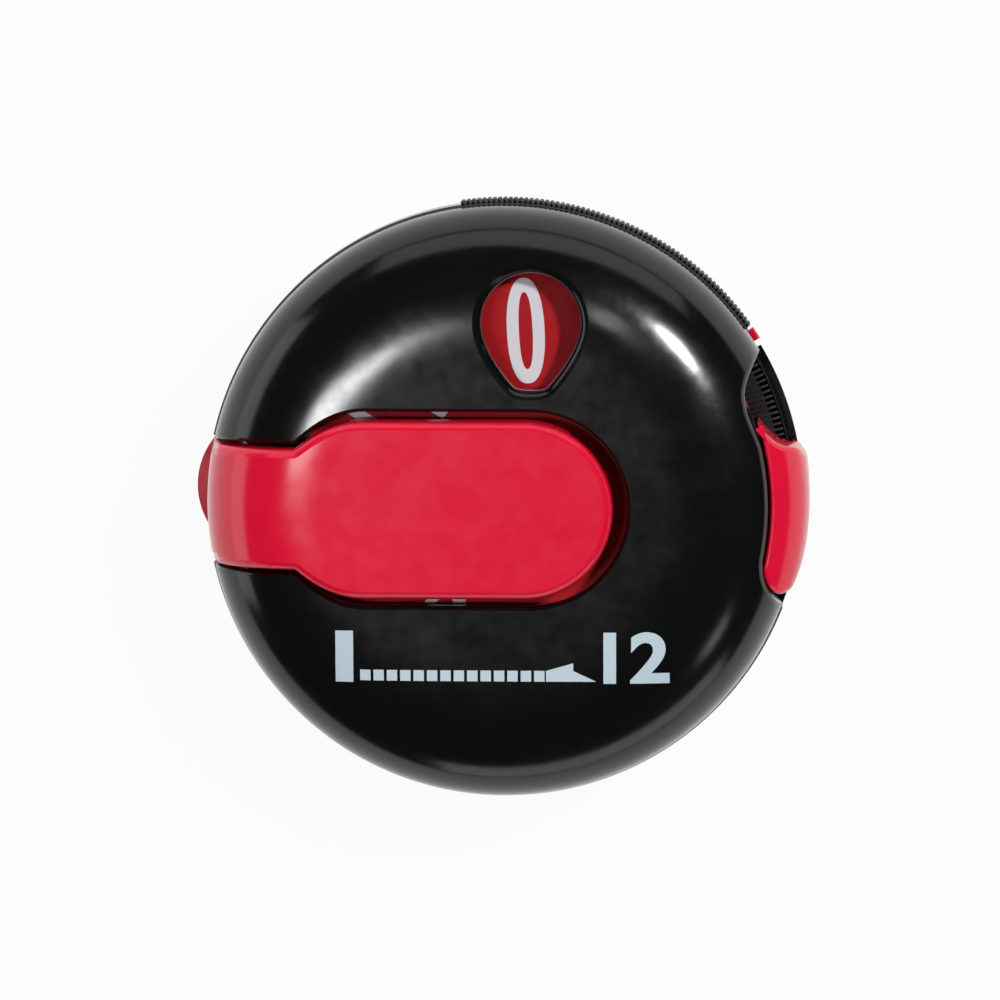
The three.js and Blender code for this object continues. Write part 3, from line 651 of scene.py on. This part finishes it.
ledge = {
    "inner": 18.2,
    "outer": 20.33,
    "spans": [(9.9, 36), (-21, -15.5)],
    "levels": [(0, 9.2), (0, 9.93), (-0.07, 10.0)],
    "rib": (18.5, 20.2, -0.1, 0.1, 9.9, 10.2, 0.05),
    "ribFrom": 11,
    "ribTurn": 23,
    "ribs": 20,
}


def makeLedge():
    ledges = [
        plug(sectorOutline(ledge["inner"], ledge["outer"], start, end), ledge["levels"])
        for start, end in ledge["spans"]
    ]
    rib = slab(*ledge["rib"])
    turn = Matrix.Rotation(math.radians(ledge["ribFrom"]), 3, "Z")
    bmesh.ops.rotate(rib, cent=(0, 0, 0), matrix=turn, verts=rib.verts)
    bmesh.ops.spin(
        rib,
        geom=rib.verts[:] + rib.edges[:] + rib.faces[:],
        cent=(0, 0, 0),
        axis=(0, 0, 1),
        angle=math.radians(ledge["ribTurn"]),
        steps=ledge["ribs"],
        use_duplicate=True,
    )
    piece = asObject("bay_ledge", together(*ledges, rib))
    return finishPiece(piece, blackMatt, "case", weighted=False)


makeLedge()


clipLugs = {"near": 5.2, "far": 6.7, "radius": 1.8, "edge": 0.15}


def makeClipLugs():
    pin = [value * 1000 for value in joints["clip_open"]["pos_m"]]
    lugs = []
    for side in (-1, 1):
        near, far = sorted((side * clipLugs["near"], side * clipLugs["far"]))
        radius, edge = clipLugs["radius"], clipLugs["edge"]
        lugs.append(slab(pin[0] - radius, pin[0] + radius, near, far, pin[2], backZ + 0.3, edge))
        lugs.append(lieAlongY(drum(radius, 0, 0, near, far, edge=edge), pin[0], pin[2]))
    piece = asObject("clip_lugs", together(*lugs))
    return finishPiece(piece, blackGloss, "case", weighted=False)


makeClipLugs()


handle = {"flat": 12.2, "rim": 21.48, "top": 17.0, "foot": partingZ - 0.6, "power": 2.6}


def handleOutline():
    inner = 18.78
    tip = polar(inner, 18.2)
    shoulder = polar(20.2, 12.0)
    corner = polar(21.25, 9.6)
    top = bezier(tip, polar(19.15, 15.2), polar(19.6, 12.9), shoulder, 14)
    bend = bezier(shoulder, polar(20.8, 11.4), polar(21.15, 10.8), corner, 8)
    over = bezier(corner, polar(21.5, 8.6), polar(21.55, 7.5), polar(21.46, 5), 10)
    side = arc(0, 0, 21.46, 5, -5, 16)
    lower = bezier(polar(21.46, -5), polar(21.5, -9), polar(21.4, -13), polar(21.15, -16.0), 14)
    heel = bezier(polar(21.15, -16.0), polar(20.9, -17.6), polar(20.3, -18.2), polar(19.9, -17.6), 12)
    back = bezier(polar(19.9, -17.6), polar(19.4, -16.9), polar(18.95, -15.2), polar(inner, -13.5), 10)
    near = arc(0, 0, inner, -13.5, 18.2, 40)
    return tidyOutline((top + bend + over + side + lower + heel + back + near)[::-1])


def makeLever():
    outside = domeProfile(handle, 1.0, 60) + [(handle["rim"], 9.5), (handle["rim"], 8.35)]
    under = [(20.65, 8.35), (20.65, 10.3), (18.0, 10.3), (0, 10.3)]
    piece = asObject("lever_handle", revolved(outside + under))
    cutter = plug(handleOutline(), lipLevels(handle, 0.45, 7.0, crownZ + 3, -1))
    carve(piece, cutter, "INTERSECT", crossing=True)
    return finishPiece(piece, pinkGloss, "reset", ["reset_lever"], sharp=24, dome=handle)


makeLever()
stem = plug(sectorOutline(17.7, 19.2, -14, -3.5, 12), [(0, 7.45), (0, 13.1)])
slider = plug(sectorOutline(17.4, 19.3, -20, 34.5, 50), [(0, 7.42), (0, 8.6)])
nub = plug(sectorOutline(19.0, 21.15, 32.2, 34.6, 6), [(-0.12, 7.45), (0, 7.6), (0, 8.45), (-0.12, 8.58)])
arm = slab(7.9, 17.6, -6.2, -4.8, 7.42, 8.6, 0.1)
cam = drum(0.6, 7.95, -5.5, 7.42, 12.7, edge=0.1)
leverSlider = asObject("lever_slider", together(stem, slider, nub, arm, cam))
finishPiece(leverSlider, pinkGloss, "reset", weighted=False)


digits = {"radius": 11.63, "lean": 2.8, "width": 2.64, "height": 7.4, "count": 13, "thickness": 0.05}


def textShape(words, width, height, weight=0.0):
    curve = bpy.data.curves.new("words", "FONT")
    curve.body = words
    curve.align_x, curve.align_y = "CENTER", "CENTER"
    curve.offset = weight
    curve.resolution_u = 10
    holder = bpy.data.objects.new("words", curve)
    bpy.context.scene.collection.objects.link(holder)
    bpy.context.view_layer.update()
    mesh = bpy.data.meshes.new_from_object(holder.evaluated_get(bpy.context.evaluated_depsgraph_get()))
    bpy.data.objects.remove(holder)
    shape = bmesh.new()
    shape.from_mesh(mesh)
    bpy.data.meshes.remove(mesh)
    bmesh.ops.remove_doubles(shape, verts=shape.verts, dist=1e-5)
    low = Vector([min(v.co[k] for v in shape.verts) for k in (0, 1)])
    high = Vector([max(v.co[k] for v in shape.verts) for k in (0, 1)])
    middle = (low + high) / 2
    bmesh.ops.translate(shape, vec=(-middle.x, -middle.y, 0), verts=shape.verts)
    bmesh.ops.scale(shape, vec=(width / (high.x - low.x), height / (high.y - low.y), 1), verts=shape.verts)
    return shape


def ovalRing(width, height, strokeX, strokeY):
    shape = bmesh.new()
    loops = []
    for inset in ((0, 0), (strokeX, strokeY)):
        a, b = width / 2 - inset[0], height / 2 - inset[1]
        ring = []
        for i in range(72):
            turn = 2 * math.pi * i / 72
            x = a * math.copysign(abs(math.cos(turn)) ** (2 / 2.3), math.cos(turn))
            y = b * math.copysign(abs(math.sin(turn)) ** (2 / 2.3), math.sin(turn))
            ring.append(shape.verts.new((x, y, 0)))
        loops.append([shape.edges.new((ring[i], ring[(i + 1) % 72])) for i in range(72)])
    bmesh.ops.bridge_loops(shape, edges=loops[0] + loops[1])
    return shape


def thicken(shape, thickness):
    for face in shape.faces:
        if face.normal.z < 0:
            face.normal_flip()
    made = bmesh.ops.extrude_face_region(shape, geom=shape.faces[:])["geom"]
    lifted = [v for v in made if isinstance(v, bmesh.types.BMVert)]
    bmesh.ops.translate(shape, vec=(0, 0, thickness), verts=lifted)
    bmesh.ops.recalc_face_normals(shape, faces=shape.faces)
    return shape


def makeDigits():
    shapes = []
    for number in range(digits["count"]):
        if number == 0:
            shape = ovalRing(digits["width"], digits["height"], 0.84, 1.0)
        else:
            wide = digits["width"] * (1 if number < 10 else 1.5) * (0.5 if number == 1 else 1)
            shape = textShape(str(number), wide, digits["height"] * 0.92, 0.01)
        thicken(shape, digits["thickness"])
        turn = math.radians(digits["lean"] - number * 360 / digits["count"])
        bmesh.ops.translate(shape, vec=(0, digits["radius"], 0), verts=shape.verts)
        bmesh.ops.rotate(shape, cent=(0, 0, 0), matrix=Matrix.Rotation(turn, 3, "Z"), verts=shape.verts)
        bmesh.ops.translate(shape, vec=(dialX, dialY, dialTopZ), verts=shape.verts)
        shapes.append(shape)
    return finishPiece(
        asObject("dial_digits", together(*shapes)), digitWhite, "dial", sharp=30, weighted=False
    )


makeDigits()

scale = {"y": -10.35, "height": 3.65, "barY": -11.65, "barHalf": 0.38, "ticks": 14, "lift": 0.035}


def makeScale():
    one = textShape("1", 1.25, scale["height"], 0.03)
    bmesh.ops.translate(one, vec=(-10.9, scale["y"], 0), verts=one.verts)
    twelve = textShape("12", 4.6, scale["height"], 0.03)
    bmesh.ops.translate(twelve, vec=(9.5, scale["y"], 0), verts=twelve.verts)
    flat = [one, twelve]
    start, end = -9.9, 3.2
    pitch = (end - start) / scale["ticks"]
    for i in range(scale["ticks"]):
        tick = bmesh.new()
        bmesh.ops.create_grid(tick, x_segments=1, y_segments=1, size=0.5)
        bmesh.ops.scale(tick, vec=(pitch * 0.78, scale["barHalf"] * 2, 1), verts=tick.verts)
        bmesh.ops.translate(tick, vec=(start + pitch * (i + 0.5), scale["barY"], 0), verts=tick.verts)
        flat.append(tick)
    arrow = bmesh.new()
    low = scale["barY"] - scale["barHalf"]
    corners = [(end, low), (6.7, low), (end + 1.9, low + 1.3), (end + 1.9, low + 0.76), (end, low + 0.76)]
    bmesh.ops.contextual_create(arrow, geom=[arrow.verts.new((x, y, 0)) for x, y in corners])
    flat.append(arrow)
    whole = together(*flat)
    bmesh.ops.triangulate(whole, faces=whole.faces)
    for _ in range(3):
        longEdges = [e for e in whole.edges if e.calc_length() > 0.5]
        bmesh.ops.subdivide_edges(whole, edges=longEdges, cuts=1)
        bmesh.ops.triangulate(whole, faces=whole.faces)
    thicken(whole, scale["lift"])
    for vert in whole.verts:
        vert.co.z += domeAt(cover, vert.co.x, vert.co.y)
    return finishPiece(asObject("scale_print", whole), printWhite, "case", weighted=False)


makeScale()


def makeFloor():
    shape = bmesh.new()
    bmesh.ops.create_grid(shape, x_segments=1, y_segments=1, size=3)
    floor = asObject("floor", shape)
    material = bpy.data.materials.new("paleFloor")
    material.use_nodes = True
    nodes, links = material.node_tree.nodes, material.node_tree.links
    nodes["Principled BSDF"].inputs["Base Color"].default_value = (0.85, 0.85, 0.85, 1)
    nodes["Principled BSDF"].inputs["Roughness"].default_value = 0.8
    glow = nodes.new("ShaderNodeEmission")
    glow.inputs["Strength"].default_value = 1
    path = nodes.new("ShaderNodeLightPath")
    seen = nodes.new("ShaderNodeMath")
    seen.operation = "MAXIMUM"
    links.new(path.outputs["Is Camera Ray"], seen.inputs[0])
    links.new(path.outputs["Is Glossy Ray"], seen.inputs[1])
    share = nodes.new("ShaderNodeMath")
    share.operation = "MULTIPLY"
    share.inputs[1].default_value = 0.94
    links.new(seen.outputs[0], share.inputs[0])
    mixed = nodes.new("ShaderNodeMixShader")
    links.new(share.outputs[0], mixed.inputs["Fac"])
    links.new(nodes["Principled BSDF"].outputs[0], mixed.inputs[1])
    links.new(glow.outputs[0], mixed.inputs[2])
    links.new(mixed.outputs[0], nodes["Material Output"].inputs["Surface"])
    floor.data.materials.append(material)


makeFloor()

lamps = [
    # name, direction, distance, width, height, watts
    ("keySoft", (0.1, 0.97, 0.3), 1.0, 1.5, 0.45, 2.2),
    ("leftStrip", (-0.235, 0.02, 0.965), 0.9, 0.06, 0.2, 1.7),
    ("rightStrip", (0.16, 0.26, 0.955), 0.9, 0.03, 0.14, 0.16),
    ("lowRight", (0.62, -0.5, 0.62), 0.9, 0.12, 0.12, 0.12),
    ("leftFill", (-0.97, 0.1, 0.2), 1.0, 1.2, 0.4, 2.4),
    ("frontFill", (0.3, -0.97, 0.2), 1.0, 1.2, 0.3, 1.6),
    # small and strong, high on the right: it lifts the colours and mirrors only in the far slope
    ("highKey", (0.45, 0.35, 0.82), 1.1, 0.1, 0.1, 6.8),
]


def makeLamps():
    for name, direction, distance, width, height, watts in lamps:
        data = bpy.data.lights.new(name, "AREA")
        data.shape = "RECTANGLE"
        data.size, data.size_y = width, height
        data.energy = watts
        lamp = bpy.data.objects.new(name, data)
        bpy.context.scene.collection.objects.link(lamp)
        away = Vector(direction).normalized()
        lamp.location = away * distance
        lamp.rotation_euler = away.to_track_quat("Z", "Y").to_euler()


makeLamps()

world = bpy.data.worlds.new("studio")
bpy.context.scene.world = world
world.use_nodes = True
sky = world.node_tree.nodes["Background"]
sky.inputs["Color"].default_value = (1, 1, 1, 1)
path = world.node_tree.nodes.new("ShaderNodeLightPath")
lift = world.node_tree.nodes.new("ShaderNodeMapRange")
lift.inputs["To Min"].default_value = 0.04
lift.inputs["To Max"].default_value = 1.0
world.node_tree.links.new(path.outputs["Is Camera Ray"], lift.inputs["Value"])
world.node_tree.links.new(lift.outputs["Result"], sky.inputs["Strength"])
print("stage ready")
